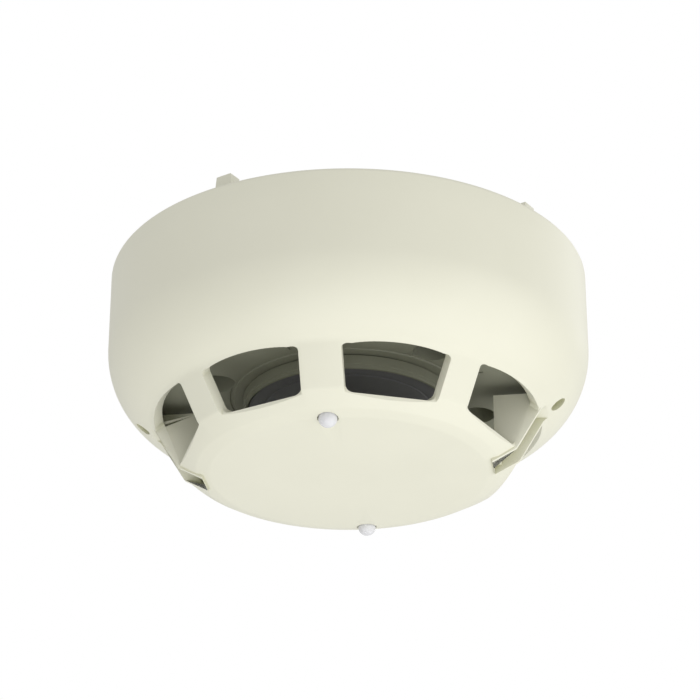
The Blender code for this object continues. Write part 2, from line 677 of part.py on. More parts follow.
def channel_slot(bm, azimuth):
    """Hollow of one tool channel, open outwards and downwards."""
    end_radius = BAND_FOOT_RADIUS - CHANNEL_END_INSET
    floor_radius = end_radius + CHANNEL_BACK
    floor_depth = cap_depth(end_radius) - COVER_WALL * 0.6
    roof_depth = WINDOW_TOP_DEPTH - CHANNEL_RISE
    outer = COVER_RADIUS
    below = COVER_DEPTH + 3 * OVERCUT
    outline = [
        (floor_radius, roof_depth),
        (outer, roof_depth),
        (outer, below),
        (end_radius, below),
        (end_radius, floor_depth),
        (floor_radius, floor_depth),
    ]
    radial_prism(bm, azimuth, outline, CHANNEL_WIDTH)


def recess(bm, azimuth):
    """Small blind hole in the shoulder, square to its surface."""
    radius = COVER_RADIUS - RECESS_INSET
    depth = shoulder_depth(radius)
    outward = direction(azimuth) * (radius - ARC_CENTRE_RADIUS)
    outward.z = -(depth - SKIRT_DEPTH)
    outward.normalize()
    length = 2 * RECESS_DEPTH + 2 * OVERCUT
    centre = place(azimuth, radius, depth) + outward * (length / 2 - RECESS_DEPTH)
    turn_to = outward.to_track_quat("Z", "Y").to_matrix().to_4x4()
    bmesh.ops.create_cone(
        bm,
        cap_ends=True,
        segments=SMALL_STEPS,
        radius1=RECESS_RADIUS,
        radius2=RECESS_RADIUS,
        depth=length,
        matrix=Matrix.Translation(centre) @ turn_to,
    )


def outer_cover(parent):
    """One moulding: skirt, shoulder, ribs with eight windows, two tool channels and the cap."""
    profile = list(reversed(cover_inside())) + cover_profile()
    cover = add_piece("outer_cover", turned(profile, ROUND_STEPS), IVORY, parent)

    windows = bmesh.new()
    for index in range(WINDOW_COUNT):
        window_cutter(windows, index)
    combine(cover, add_cutter("window_cutters", windows, parent), "DIFFERENCE")

    channels = bmesh.new()
    hollows = bmesh.new()
    recesses = bmesh.new()
    for side in (0, 180):
        channel_body(channels, CHANNEL_AZIMUTH + side)
        channel_slot(hollows, CHANNEL_AZIMUTH + side)
        recess(recesses, FIRST_WINDOW + 1.5 * 360 / WINDOW_COUNT + side)
        pipe = place(LAMP_AZIMUTH + side, LAMP_CIRCLE, 0.0)
        rod(hollows, (pipe.x, pipe.y), PIPE_RADIUS + GAP, COVER_DEPTH - 3 * COVER_WALL, COVER_DEPTH + OVERCUT)
    combine(cover, add_cutter("channel_bodies", channels, parent), "UNION")
    combine(cover, add_cutter("cover_hollows", hollows, parent), "DIFFERENCE")
    combine(cover, add_cutter("cover_recesses", recesses, parent), "DIFFERENCE")


# ---------------------------------------------------------------- chassis and contacts
def chassis(parent):
    """Back of the head: flange, board skirt, bayonet collar with tabs, and screw bosses."""
    skirt_inside = CHASSIS_SKIRT_RADIUS - CHASSIS_SKIRT_WALL
    skirt_end = CAVITY_BACK - GAP
    profile = [
        (0.0, CHASSIS_DEPTH),
        (COLLAR_RADIUS - COLLAR_WALL, CHASSIS_DEPTH),
        (COLLAR_RADIUS - COLLAR_WALL, TAB_DEPTH),
        (COLLAR_RADIUS, TAB_DEPTH),
        (COLLAR_RADIUS, CHASSIS_DEPTH),
        (CHASSIS_FLANGE_RADIUS, CHASSIS_DEPTH),
        (CHASSIS_FLANGE_RADIUS, CHASSIS_FACE),
        (CHASSIS_SKIRT_RADIUS, CHASSIS_FACE),
        (CHASSIS_SKIRT_RADIUS, skirt_end),
        (skirt_inside, skirt_end),
        (skirt_inside, CHASSIS_FACE),
        (0.0, CHASSIS_FACE),
    ]
    piece = add_piece("chassis", turned(profile, INNER_STEPS), CHASSIS_PLASTIC, parent)

    added = bmesh.new()
    for index in range(FOOT_COUNT):
        azimuth = FOOT_AZIMUTH + index * 360 / FOOT_COUNT
        sector(added, azimuth, TAB_ANGLE, COLLAR_RADIUS - COLLAR_WALL / 2, TAB_RADIUS, TAB_DEPTH + GAP / 2,
               TAB_DEPTH + TAB_THICKNESS)
    for azimuth in SCREW_AZIMUTHS:
        point = place(azimuth, SCREW_CIRCLE, 0.0)
        rod(added, (point.x, point.y), BOARD_SCREW_RADIUS + GAP + BOSS_WALL, CHASSIS_FACE - GAP, BOARD_DEPTH - GAP)
    combine(piece, add_cutter("chassis_additions", added, parent), "UNION")

    removed = bmesh.new()
    for azimuth in SCREW_AZIMUTHS:
        point = place(azimuth, SCREW_CIRCLE, 0.0)
        rod(removed, (point.x, point.y), BOARD_SCREW_RADIUS + GAP, CHASSIS_FACE - CHASSIS_WALL / 2,
            BOARD_DEPTH + OVERCUT)
    for index in range(TERMINAL_COUNT):
        point = place(terminal_azimuth(index), RIVET_CIRCLE, 0.0)
        rod(removed, (point.x, point.y), RIVET_RADIUS + GAP, CHASSIS_DEPTH - OVERCUT, CHASSIS_FACE + OVERCUT,
            SCREW_STEPS)
    combine(piece, add_cutter("chassis_holes", removed, parent), "DIFFERENCE")


def contact_blade(index, parent):
    """Bent contact: a foot on the chassis, a leg up and a tab out into the clip."""
    leg = BLADE_LEG_RADIUS
    foot_start = leg - BLADE_THICKNESS - BLADE_FOOT_LENGTH
    tab_end = TERMINAL_CIRCLE + CLIP_WIDTH / 2
    foot_end = BLADE_FOOT_DEPTH + BLADE_THICKNESS
    outline = [
        (foot_start, BLADE_FOOT_DEPTH),
        (leg - BLADE_THICKNESS, BLADE_FOOT_DEPTH),
        (leg - BLADE_THICKNESS, BLADE_DEPTH),
        (tab_end, BLADE_DEPTH),
        (tab_end, BLADE_DEPTH + BLADE_THICKNESS),
        (leg, BLADE_DEPTH + BLADE_THICKNESS),
        (leg, foot_end),
        (foot_start, foot_end),
    ]
    azimuth = terminal_azimuth(index)
    bm = bmesh.new()
    radial_prism(bm, azimuth, outline, BLADE_WIDTH)
    blade = add_piece(f"contact_blade_{index + 1}", bm, TIN, parent)
    point = place(azimuth, RIVET_CIRCLE, 0.0)
    hole = bmesh.new()
    rod(hole, (point.x, point.y), RIVET_RADIUS + GAP, BLADE_FOOT_DEPTH - OVERCUT, foot_end + OVERCUT, SCREW_STEPS)
    combine(blade, add_cutter(f"blade_hole_{index + 1}", hole, parent), "DIFFERENCE")


def blade_rivet(index, parent):
    """Rivet that holds a blade and carries its current through the chassis."""
    seat = BLADE_FOOT_DEPTH - GAP
    face = CHASSIS_FACE + GAP
    profile = [
        (0.0, seat - RIVET_HEAD_HEIGHT),
        (RIVET_HEAD_RADIUS * 0.6, seat - RIVET_HEAD_HEIGHT),
        (RIVET_HEAD_RADIUS, seat),
        (RIVET_RADIUS, seat),
        (RIVET_RADIUS, face),
        (RIVET_HEAD_RADIUS, face),
        (RIVET_HEAD_RADIUS, RIVET_END),
        (0.0, RIVET_END),
    ]
    point = place(terminal_azimuth(index), RIVET_CIRCLE, 0.0)
    add_piece(f"blade_rivet_{index + 1}", turned(profile, SCREW_STEPS, (point.x, point.y)), BRASS, parent)


def board_pin(index, parent):
    """Sprung pin between a rivet and the circuit board."""
    top = RIVET_END + GAP
    bottom = BOARD_DEPTH - GAP
    collar = top + (bottom - top) * 0.6
    profile = [
        (0.0, top),
        (PIN_RADIUS * 0.6, top),
        (PIN_RADIUS * 0.6, collar),
        (PIN_RADIUS, collar),
        (PIN_RADIUS, bottom),
        (0.0, bottom),
    ]
    point = place(terminal_azimuth(index), RIVET_CIRCLE, 0.0)
    add_piece(f"board_pin_{index + 1}", turned(profile, SCREW_STEPS, (point.x, point.y)), BRASS, parent)


# ---------------------------------------------------------------- circuit board and its parts
def circuit_board(parent):
    """Round board with holes for its four screws and the two thermistor leads."""
    bm = bmesh.new()
    rod(bm, (0.0, 0.0), BOARD_RADIUS, BOARD_DEPTH, BOARD_UNDERSIDE, INNER_STEPS)
    board = add_piece("circuit_board", bm, BOARD_GREEN, parent)
    holes = bmesh.new()
    for azimuth in SCREW_AZIMUTHS:
        point = place(azimuth, SCREW_CIRCLE, 0.0)
        rod(holes, (point.x, point.y), BOARD_SCREW_RADIUS + GAP, BOARD_DEPTH - OVERCUT, BOARD_UNDERSIDE + OVERCUT,
            SCREW_STEPS)
    for side in (-1, 1):
        rod(holes, (side * LEAD_OFFSET, 0.0), LEAD_RADIUS + GAP, BOARD_DEPTH - OVERCUT, BOARD_UNDERSIDE + OVERCUT,
            SCREW_STEPS)
    combine(board, add_cutter("board_holes", holes, parent), "DIFFERENCE")


def board_box(name, centre, size, finish, parent):
    """Flat chip on the upper side of the board."""
    bottom = BOARD_DEPTH - GAP
    middle = Vector((centre[0], centre[1], RIM_Z - bottom + size[2] / 2))
    bm = bmesh.new()
    scale = Matrix.Diagonal((*size, 1.0))
    bmesh.ops.create_cube(bm, size=1.0, matrix=Matrix.Translation(middle) @ scale)
    chip = add_piece(name, bm, finish, parent)
    bevel = chip.modifiers.new("edge", "BEVEL")
    bevel.width = CHIP_EDGE
    bevel.segments = 1


def board_parts(parent):
    """Chips, capacitor, reed switch and the reference sensor that measures the inside air."""
    processor_size = (PROCESSOR_SIDE, PROCESSOR_SIDE, PROCESSOR_HEIGHT)
    board_box("processor", PROCESSOR_PLACE, processor_size, CHIP_BLACK, parent)
    board_box("regulator", REGULATOR_PLACE, REGULATOR_SIZE, CHIP_BLACK, parent)

    top = BOARD_UNDERSIDE + GAP
    profile = [
        (0.0, top),
        (CAPACITOR_RADIUS, top),
        (CAPACITOR_RADIUS, top + CAPACITOR_HEIGHT * 0.2),
        (CAPACITOR_RADIUS * 0.92, top + CAPACITOR_HEIGHT * 0.25),
        (CAPACITOR_RADIUS, top + CAPACITOR_HEIGHT * 0.3),
        (CAPACITOR_RADIUS, top + CAPACITOR_HEIGHT * 0.94),
        (CAPACITOR_RADIUS * 0.9, top + CAPACITOR_HEIGHT),
        (0.0, top + CAPACITOR_HEIGHT),
    ]
    add_piece("reservoir_capacitor", turned(profile, SMALL_STEPS, CAPACITOR_PLACE), CAN_ALUMINIUM, parent)

    bead = BOARD_DEPTH - GAP - AIR_SENSOR_RADIUS
    sensor = bmesh.new()
    middle = Vector((*AIR_SENSOR_PLACE, RIM_Z - bead))
    bmesh.ops.create_uvsphere(sensor, u_segments=16, v_segments=8, radius=AIR_SENSOR_RADIUS,
                              matrix=Matrix.Translation(middle))
    add_piece("reference_thermistor", sensor, BEAD_BLACK, parent)

    reed = bmesh.new()
    middle = Vector((*REED_PLACE, RIM_Z - BOARD_UNDERSIDE - GAP - REED_RADIUS))
    lying = Matrix.Translation(middle) @ Matrix.Rotation(math.radians(90), 4, "X")
    bmesh.ops.create_cone(reed, cap_ends=True, segments=SCREW_STEPS, radius1=REED_RADIUS, radius2=REED_RADIUS,
                          depth=REED_LENGTH, matrix=lying)
    add_piece("reed_switch", reed, CLEAR, parent)


def lamp(number, azimuth, parent):
    """Indicator LED under the board, and the light pipe that takes its light to the cap."""
    point = place(azimuth, LAMP_CIRCLE, 0.0)
    centre = (point.x, point.y)
    top = BOARD_UNDERSIDE + GAP
    end = top + LED_HEIGHT
    radius = PIPE_RADIUS * 0.8
    led_profile = [
        (0.0, top),
        (PIPE_RADIUS, top),
        (PIPE_RADIUS, top + LED_HEIGHT * 0.25),
        (radius, top + LED_HEIGHT * 0.25),
        (radius, end - radius * 0.8),
        (radius * 0.7, end - radius * 0.2),
        (0.0, end),
    ]
    add_piece(f"led_{number}", turned(led_profile, SCREW_STEPS, centre), LED_WHITE, parent)

    start = end + GAP
    collar_end = CAVITY_BACK - GAP
    collar_start = collar_end - PIPE_COLLAR
    surface = cap_depth(LAMP_CIRCLE)
    dome = [
        (PIPE_RADIUS * math.cos(math.radians(angle)), surface + PIPE_PROUD * math.sin(math.radians(angle)))
        for angle in (0, 25, 50, 75)
    ]
    pipe_profile = [
        (0.0, start),
        (PIPE_RADIUS, start),
        (PIPE_RADIUS, collar_start),
        (PIPE_RADIUS + PIPE_COLLAR, collar_start),
        (PIPE_RADIUS + PIPE_COLLAR, collar_end),
        (PIPE_RADIUS, collar_end),
        *dome,
        (0.0, surface + PIPE_PROUD),
    ]
    add_piece(f"light_pipe_{number}", turned(pipe_profile, SMALL_STEPS, centre), CLEAR, parent)


# ---------------------------------------------------------------- sensing cavity
def cavity_plate(parent):
    """Roof of the sensing cavity, with a deep well for each board screw."""
    inside = inset(cover_profile(), COVER_WALL)
    edge = min(radius_at(inside, CAVITY_BACK), radius_at(inside, CAVITY_FACE)) - CAVITY_EDGE_CLEARANCE
    profile = [
        (SLEEVE_HOLE, CAVITY_BACK),
        (edge, CAVITY_BACK),
        (edge, CAVITY_FACE),
        (SLEEVE_HOLE, CAVITY_FACE),
    ]
    plate = add_piece("cavity_plate", turned(profile, INNER_STEPS), CAVITY_GREY, parent)

    wells = bmesh.new()
    holes = bmesh.new()
    for azimuth in SCREW_AZIMUTHS:
        point = place(azimuth, SCREW_CIRCLE, 0.0)
        centre = (point.x, point.y)
        rod(wells, centre, WELL_RADIUS + WELL_WALL, WELL_TOP, CAVITY_FACE - GAP)
        well_profile = [
            (0.0, WELL_TOP - OVERCUT),
            (BOARD_SCREW_RADIUS + GAP, WELL_TOP - OVERCUT),
            (BOARD_SCREW_RADIUS + GAP, WELL_TOP + WELL_FLOOR),
            (WELL_RADIUS, WELL_TOP + WELL_FLOOR),
            (WELL_RADIUS, CAVITY_FACE + OVERCUT),
            (0.0, CAVITY_FACE + OVERCUT),
        ]
        turn(holes, well_profile, SMALL_STEPS, centre)
    for side in (0, 180):
        point = place(LAMP_AZIMUTH + side, LAMP_CIRCLE, 0.0)
        rod(holes, (point.x, point.y), PIPE_RADIUS + GAP, CAVITY_BACK - OVERCUT, CAVITY_FACE + OVERCUT)
    combine(plate, add_cutter("screw_wells", wells, parent), "UNION")
    combine(plate, add_cutter("well_holes", holes, parent), "DIFFERENCE")


def radius_at(profile, depth):
    """Radius of a profile at a depth."""
    for (r0, d0), (r1, d1) in zip(profile[:-1], profile[1:]):
        if d0 <= depth <= d1:
            return r0 + (r1 - r0) * (depth - d0) / (d1 - d0)
    return profile[0][0]


def board_screws(parent):
    """The four screws that hold the cavity plate and the board to the chassis."""
    seat = WELL_TOP + WELL_FLOOR + GAP
    for number, azimuth in enumerate(SCREW_AZIMUTHS, start=1):
        point = place(azimuth, SCREW_CIRCLE, 0.0)
        screw(f"board_screw_{number}", (point.x, point.y), seat, BOARD_HEAD_RADIUS, BOARD_HEAD_HEIGHT,
              BOARD_SCREW_RADIUS, CHASSIS_FACE - CHASSIS_WALL / 2 + GAP, parent)


def sensor_carrier(parent):
    """Round boss under the cavity plate, with a dark face set into its rim."""
    web_end = CARRIER_END - GAP - CARRIER_FACE - GAP
    rim_inside = CARRIER_RADIUS - CARRIER_RIM
    profile = [
        (SLEEVE_HOLE, CARRIER_TOP),
        (CARRIER_RADIUS, CARRIER_TOP),
        (CARRIER_RADIUS, CARRIER_END),
        (rim_inside, CARRIER_END),
        (rim_inside, web_end),
        (SLEEVE_HOLE, web_end),
    ]
    add_piece("sensor_carrier", turned(profile, INNER_STEPS), CAVITY_GREY, parent)
    face_profile = [
        (SLEEVE_HOLE, web_end + GAP),
        (rim_inside - GAP, web_end + GAP),
        (rim_inside - GAP, web_end + GAP + CARRIER_FACE),
        (SLEEVE_HOLE, web_end + GAP + CARRIER_FACE),
    ]
    add_piece("carrier_face", turned(face_profile, INNER_STEPS), CARRIER_NAVY, parent)


def thermistor(parent):
    """Sensing bead on its two leads, hanging from a sleeve in the middle of the air gap."""
    collar_end = CAVITY_BACK - GAP
    collar_start = collar_end - SLEEVE_COLLAR / 2
    inner = SLEEVE_RADIUS - SLEEVE_WALL
    sleeve_profile = [
        (inner, collar_start),
        (SLEEVE_RADIUS + SLEEVE_COLLAR, collar_start),
        (SLEEVE_RADIUS + SLEEVE_COLLAR, collar_end),
        (SLEEVE_RADIUS, collar_end),
        (SLEEVE_RADIUS, SLEEVE_END),
        (inner, SLEEVE_END),
    ]
    add_piece("thermistor_sleeve", turned(sleeve_profile, SMALL_STEPS), SLEEVE_PLASTIC, parent)

    lead_end = SLEEVE_END + LEAD_SHOW
    for name, side in (("thermistor_lead_left", -1), ("thermistor_lead_right", 1)):
        bm = bmesh.new()
        rod(bm, (side * LEAD_OFFSET, 0.0), LEAD_RADIUS, BOARD_DEPTH - BOARD_THICKNESS / 3, lead_end, SCREW_STEPS)
        add_piece(name, bm, TIN, parent)

    bead_top = lead_end + GAP
    half = BEAD_LENGTH / 2
    profile = [
        (BEAD_RADIUS * math.sin(math.radians(angle)), bead_top + half - half * math.cos(math.radians(angle)))
        for angle in range(0, 181, 20)
    ]
    profile[0] = (0.0, bead_top)
    profile[-1] = (0.0, bead_top + BEAD_LENGTH)
    add_piece("thermistor_bead", turned(profile, SMALL_STEPS), BEAD_BLACK, parent)


# ---------------------------------------------------------------- build
for old in list(bpy.data.objects):
    bpy.data.objects.remove(old, do_unlink=True)

IVORY = material("ivory_plastic", (0.80, 0.79, 0.68), 0.38)
CHASSIS_PLASTIC = material("chassis_plastic", (0.62, 0.61, 0.52), 0.45)
CAVITY_GREY = material("cavity_plastic", (0.30, 0.30, 0.25), 0.55)
CARRIER_NAVY = material("carrier_plastic", (0.075, 0.077, 0.095), 0.5)
SLEEVE_PLASTIC = material("sleeve_plastic", (0.05, 0.05, 0.05), 0.5)
BEAD_BLACK = material("bead_epoxy", (0.02, 0.02, 0.02), 0.35)
CLEAR = material("clear_plastic", (0.90, 0.91, 0.92), 0.1, alpha=0.6)
LED_WHITE = material("led_epoxy", (0.85, 0.85, 0.83), 0.25)
BOARD_GREEN = material("board_laminate", (0.02, 0.16, 0.07), 0.4)
CHIP_BLACK = material("chip_package", (0.03, 0.03, 0.03), 0.5)
CAN_ALUMINIUM = material("can_aluminium", (0.75, 0.75, 0.76), 0.3, 1.0)
BRASS = material("spring_brass", (0.72, 0.55, 0.25), 0.3, 1.0)
TIN = material("tinned_copper", (0.70, 0.69, 0.66), 0.3, 1.0)
STEEL = material("zinc_steel", (0.62, 0.62, 0.62), 0.35, 1.0)
CUTTER_FINISH = material("guide", (0.8, 0.2, 0.2), 0.8)

base = empty("base")
head = empty("head", base)

base_plate(base)
for number in range(TERMINAL_COUNT):
    terminal_clip(number, base)
    wire_plate(number, base)
terminal_screws(base)

outer_cover(head)
chassis(head)
for number in range(TERMINAL_COUNT):
    contact_blade(number, head)
    blade_rivet(number, head)
    board_pin(number, head)
circuit_board(head)
board_parts(head)
lamp(1, LAMP_AZIMUTH, head)
lamp(2, LAMP_AZIMUTH + 180, head)
cavity_plate(head)
board_screws(head)
sensor_carrier(head)
thermistor(head)
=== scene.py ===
import json
import math

import bpy
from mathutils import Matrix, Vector


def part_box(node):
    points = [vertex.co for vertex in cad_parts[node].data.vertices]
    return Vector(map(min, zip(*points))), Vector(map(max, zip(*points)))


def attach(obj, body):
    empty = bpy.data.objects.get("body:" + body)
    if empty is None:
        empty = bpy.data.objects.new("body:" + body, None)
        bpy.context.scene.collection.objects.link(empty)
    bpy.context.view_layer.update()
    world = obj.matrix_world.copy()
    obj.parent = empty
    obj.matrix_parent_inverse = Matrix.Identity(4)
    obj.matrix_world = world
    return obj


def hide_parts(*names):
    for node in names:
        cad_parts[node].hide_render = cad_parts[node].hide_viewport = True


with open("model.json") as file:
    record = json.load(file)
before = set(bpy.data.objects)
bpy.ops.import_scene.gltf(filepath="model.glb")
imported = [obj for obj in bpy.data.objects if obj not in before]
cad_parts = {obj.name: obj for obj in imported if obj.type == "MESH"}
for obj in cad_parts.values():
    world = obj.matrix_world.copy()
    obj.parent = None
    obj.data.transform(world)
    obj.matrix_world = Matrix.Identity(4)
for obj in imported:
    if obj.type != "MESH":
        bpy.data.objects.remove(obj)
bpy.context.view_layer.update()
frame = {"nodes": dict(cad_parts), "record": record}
nodes = frame["nodes"]
mm = 0.001
print("frame loaded:", len(nodes), "solids")

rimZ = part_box("outer_cover")[1].z  # rim of the cover, depths below are measured down from it


def clearSelection():
    if bpy.context.object is not None and bpy.context.object.mode != "OBJECT":
        bpy.ops.object.mode_set(mode="OBJECT")
    bpy.ops.object.select_all(action="DESELECT")


def at(x, y, depth):
    return Vector((x * mm, y * mm, rimZ - depth * mm))


def drawLine(name, points):
    # one vertex, extruded from point to point; stays in edit mode
    clearSelection()
    bpy.ops.mesh.primitive_plane_add(size=0.001, location=(0, 0, 0))
    piece = bpy.context.object
    piece.name = piece.data.name = name
    bpy.ops.object.mode_set(mode="EDIT")
    bpy.ops.mesh.merge(type="CENTER")
    bpy.ops.transform.translate(value=points[0])
    for start, end in zip(points, points[1:]):
        bpy.ops.mesh.extrude_vertices_move(TRANSFORM_OT_translate={"value": end - start})
    bpy.ops.mesh.select_all(action="SELECT")
    return piece


def closeShape(piece):
    # merge what meets, turn the faces outwards and leave edit mode
    bpy.ops.mesh.select_all(action="SELECT")
    bpy.ops.mesh.remove_doubles(threshold=1e-6)
    bpy.ops.mesh.normals_make_consistent(inside=False)
    bpy.ops.object.mode_set(mode="OBJECT")
    return piece


def spinShape(name, profile, steps, centre=(0.0, 0.0)):
    cx, cy = centre
    piece = drawLine(name, [at(cx + radius, cy, depth) for radius, depth in profile])
    bpy.ops.mesh.spin(steps=steps, angle=math.tau, center=(cx * mm, cy * mm, 0), axis=(0, 0, 1))
    return closeShape(piece)


def pushShape(name, points, push):
    piece = drawLine(name, points)
    bpy.ops.mesh.edge_face_add()
    bpy.ops.mesh.extrude_region_move(TRANSFORM_OT_translate={"value": push})
    return closeShape(piece)


def turnTo(piece, azimuth):
    clearSelection()
    piece.select_set(True)
    bpy.context.view_layer.objects.active = piece
    piece.rotation_euler.z = math.radians(azimuth)
    bpy.ops.object.transform_apply(location=True, rotation=True, scale=True)


def combine(piece, tools, operation):
    for tool in tools:
        clearSelection()
        bpy.context.view_layer.objects.active = piece
        step = piece.modifiers.new("combine", "BOOLEAN")
        step.operation = operation
        step.solver = "EXACT"
        step.object = tool
        bpy.ops.object.modifier_apply(modifier=step.name)
        bpy.data.objects.remove(tool)


def applyBevel(piece, width, segments=2, angle=35, clamp=True):
    clearSelection()
    bpy.context.view_layer.objects.active = piece
    step = piece.modifiers.new("edges", "BEVEL")
    step.width = width * mm
    step.segments = segments
    step.limit_method = "ANGLE"
    step.angle_limit = math.radians(angle)
    step.use_clamp_overlap = clamp
    bpy.ops.object.modifier_apply(modifier=step.name)


def smoothShape(piece, angle=40):
    clearSelection()
    piece.select_set(True)
    bpy.context.view_layer.objects.active = piece
    bpy.ops.object.shade_smooth_by_angle(angle=math.radians(angle))


def place(azimuth, radius):
    # plan position in mm, azimuth 0 is -Y and grows towards +X
    angle = math.radians(azimuth)
    return radius * math.sin(angle), -radius * math.cos(angle)


def roundedProfile(corners, chord=0.25):
    # corners are (radius, depth, fillet); each fillet becomes an arc of short chords
    points = []
    last = len(corners) - 1
    for index, (x, y, fillet) in enumerate(corners):
        here = Vector((x, y))
        if index in (0, last) or fillet == 0:
            points.append((x, y))
            continue
        before = (Vector(corners[index - 1][:2]) - here).normalized()
        after = (Vector(corners[index + 1][:2]) - here).normalized()
        opening = before.angle(after)
        reach = fillet / math.tan(opening / 2)
        middle = here + (before + after).normalized() * fillet / math.sin(opening / 2)
        first = here + before * reach - middle
        turn = before.angle(after)
        sweep = math.pi - turn
        side = 1 if first.cross(here + after * reach - middle) > 0 else -1
        count = max(2, round(fillet * sweep / chord))
        for step in range(count + 1):
            angle = side * sweep * step / count
            c, s = math.cos(angle), math.sin(angle)
            points.append((middle.x + first.x * c - first.y * s, middle.y + first.x * s + first.y * c))
    return points


cover = {
    "steps": 192,
    "radius": 50.0,
    "wall": 2.4,
    "depth": 44.6,
    "skirt": 17.37,  # depth of the straight part
    "arc": 16.5,  # shoulder curve
    "arcEnd": 65.66,
    "windowTop": (40.3, 32.4),
    "bandFoot": (35.4, 40.6),
    "capEdge": (31.2, 43.0),
    "capFlat": (28.5, 43.7),
    "firstWindow": 14.4,
    "rib": 3.5,
    "lampRib": 4.2,
    "ribShift": 1.4,  # plain ribs stand a little nearer to the light pipes
    "channelAzimuth": 81.9,
    "channelHalf": 3.0,
    "channelEnd": 29.8,
    "vane": 0.8,
    "edge": 0.3,
}

# one window: depths of its arched top and of its sill, measured where each meets the surface
window = {"crown": 32.7, "corner": 33.45, "sill": 41.0, "chord": 33.3, "inner": 28.6, "climb": 0.95, "round": 1.7}


def coverProfile():
    c = cover
    centre = c["radius"] - c["arc"]
    inner = c["arc"] - c["wall"]
    flatIn = c["depth"] - c["wall"]
    inside = [
        (0.0, flatIn, 0),
        (28.2, flatIn - 0.8, 2.0),
        (33.4, 39.6, 1.0),
        (38.4, 31.2, 2.0),
    ]
    points = roundedProfile(inside + [(40.6, 30.0, 0)])[:-1]
    for step in range(16):
        angle = math.radians(58 * (1 - step / 15))
        points.append((centre + inner * math.cos(angle), c["skirt"] + inner * math.sin(angle)))
    wall = c["radius"] - c["wall"]
    rim = [
        (wall, 14.6, 0),
        (wall - 1.2, 14.2, 0),
        (wall - 1.2, 13.3, 0),
        (wall, 13.3, 0),
        (wall, 10.7, 0),
        (wall - 0.7, 10.6, 0),
        (wall - 0.7, 10.2, 0),
        (wall, 9.4, 0),
        (wall, 0.0, 0.5),
        (c["radius"], 0.0, 0.9),
        (c["radius"], 6.0, 0),
    ]
    points += roundedProfile(rim)
    points += [(c["radius"], 12.0)]
    count = 30
    for step in range(count + 1):
        angle = math.radians((c["arcEnd"] - 9) * step / count)
        points.append((centre + c["arc"] * math.cos(angle), c["skirt"] + c["arc"] * math.sin(angle)))
    outside = [
        (points[-1][0], points[-1][1], 0),
        (c["windowTop"][0], c["windowTop"][1], 3.2),
        (c["bandFoot"][0], c["bandFoot"][1], 1.6),
        (c["capEdge"][0], c["capEdge"][1], 2.5),
        (c["capFlat"][0], c["capFlat"][1], 4.0),
        (14.0, c["depth"] - 0.22, 0),
        (0.0, c["depth"], 0),
    ]
    points += roundedProfile(outside, chord=0.4)[1:]
    return points


def ribHalf(index):
    if index % 4 == 1:
        return cover["channelHalf"] + cover["vane"] - 0.1
    return cover["lampRib"] if index % 4 == 3 else cover["rib"]


def ribAzimuth(index):
    if index % 4 == 1:
        return cover["channelAzimuth"] + index // 4 * 180
    shift = {0: -cover["ribShift"], 2: cover["ribShift"]}.get(index % 4, 0.0)
    return cover["firstWindow"] + (index + 0.5) * 45 + shift


def windowSpan(index, reach):
    # left and right end of a window at a distance from the axis
    azimuth = cover["firstWindow"] + index * 45
    ends = []
    for neighbour, side in ((index - 1, -1), (index, 1)):
        lean = math.radians(ribAzimuth(neighbour) - azimuth)
        ends.append((reach * math.sin(lean) - ribHalf(neighbour) * side) / math.cos(lean))
    return ends


def cornerArc(x, depth, across, down, start):
    # quarter turn round a point, seen from the front
    points = []
    for step in range(7):
        angle = math.radians(start + 90 * step / 6)
        points.append((x + across * math.cos(angle), depth - down * math.sin(angle)))
    return points


def wedge(index, outline, start, end, climb):
    # an outline in front of a window, pushed towards the axis and narrowed between the ribs
    tool = drawLine("windowTool", [at(x, -start, depth) for x, depth in outline])
    bpy.ops.mesh.edge_face_add()
    push = (start - end) * mm
    bpy.ops.mesh.extrude_region_move(TRANSFORM_OT_translate={"value": (0, push, push * climb)})
    before, after = windowSpan(index, start), windowSpan(index, end)
    shrink = (after[1] - after[0]) / (before[1] - before[0])
    middle = sum(before) / 2
    bpy.ops.transform.resize(value=(shrink, 1, 1), center_override=(middle * mm, 0, 0))
    bpy.ops.transform.translate(value=((sum(after) / 2 - middle) * mm, 0, 0))
    closeShape(tool)
    turnTo(tool, cover["firstWindow"] + index * 45)
    return tool


def windowTools(index):
    w = window
    left, right = windowSpan(index, 51.0)
    near = windowSpan(index, w["chord"])
    corner = w["round"] * (right - left) / (near[1] - near[0])
    crown = w["crown"] + (51.0 - 40.2) * w["climb"]
    shoulder = w["corner"] + (51.0 - 39.0) * w["climb"]
    outline = [(left, 75.0)]
    outline += cornerArc(left + corner, shoulder + w["round"], -corner, w["round"], 0)
    for step in range(1, 20):  # arched top
        share = 2 * step / 20 - 1
        x = (left + right) / 2 + ((right - left) / 2 - corner) * share
        outline.append((x, shoulder - (shoulder - crown) * (1 - share ** 2)))
    outline += cornerArc(right - corner, shoulder + w["round"], -corner, w["round"], 90)
    outline.append((right, 75.0))
    opening = wedge(index, outline, 51.0, w["chord"], w["climb"])
    left, right = windowSpan(index, w["chord"] + 0.05)
    outline = [(left, 31.0), (right, 31.0)]
    outline += cornerArc(right - w["round"], w["sill"] - w["round"], w["round"], -w["round"], 0)
    outline += cornerArc(left + w["round"], w["sill"] - w["round"], w["round"], -w["round"], 90)
    sill = wedge(index, outline, w["chord"] + 0.05, w["inner"], 0.3)
    return [opening, sill]


def channelTool(name, outline, width, azimuth):
    tool = pushShape(name, [at(-width / 2, -radius, depth) for radius, depth in outline], (width * mm, 0, 0))
    turnTo(tool, azimuth)
    return tool


